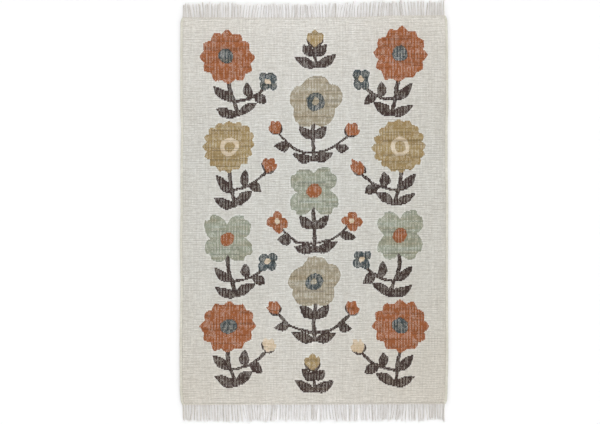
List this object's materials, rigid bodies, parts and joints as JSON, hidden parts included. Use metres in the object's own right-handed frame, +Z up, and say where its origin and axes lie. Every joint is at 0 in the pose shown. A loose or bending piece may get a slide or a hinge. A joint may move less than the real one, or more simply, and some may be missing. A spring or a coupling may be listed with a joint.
{
  "type": "jute kilim rug",
  "caption": "Flat-woven jute rug lying flat, with a woven floral pattern, corded selvedges and a short warp fringe at both ends.",
  "frame": {"origin": "on the floor, under the middle of the rug with its fringes", "axes": "+X across the rug to the right, +Y along the rug to its far end, +Z up"},
  "size_m": [1.6, 2.5164, 0.006],
  "materials": {
    "woven_jute": "matt flat weave of ivory jute with terracotta, sage, slate, ochre, beige and brown yarn",
    "warp_yarn": "matt plied ivory yarn"
  },
  "bodies": {
    "root": {"rug_cloth": "woven_jute", "fringe_front": "warp_yarn", "fringe_back": "warp_yarn"}
  },
  "joints": []
}
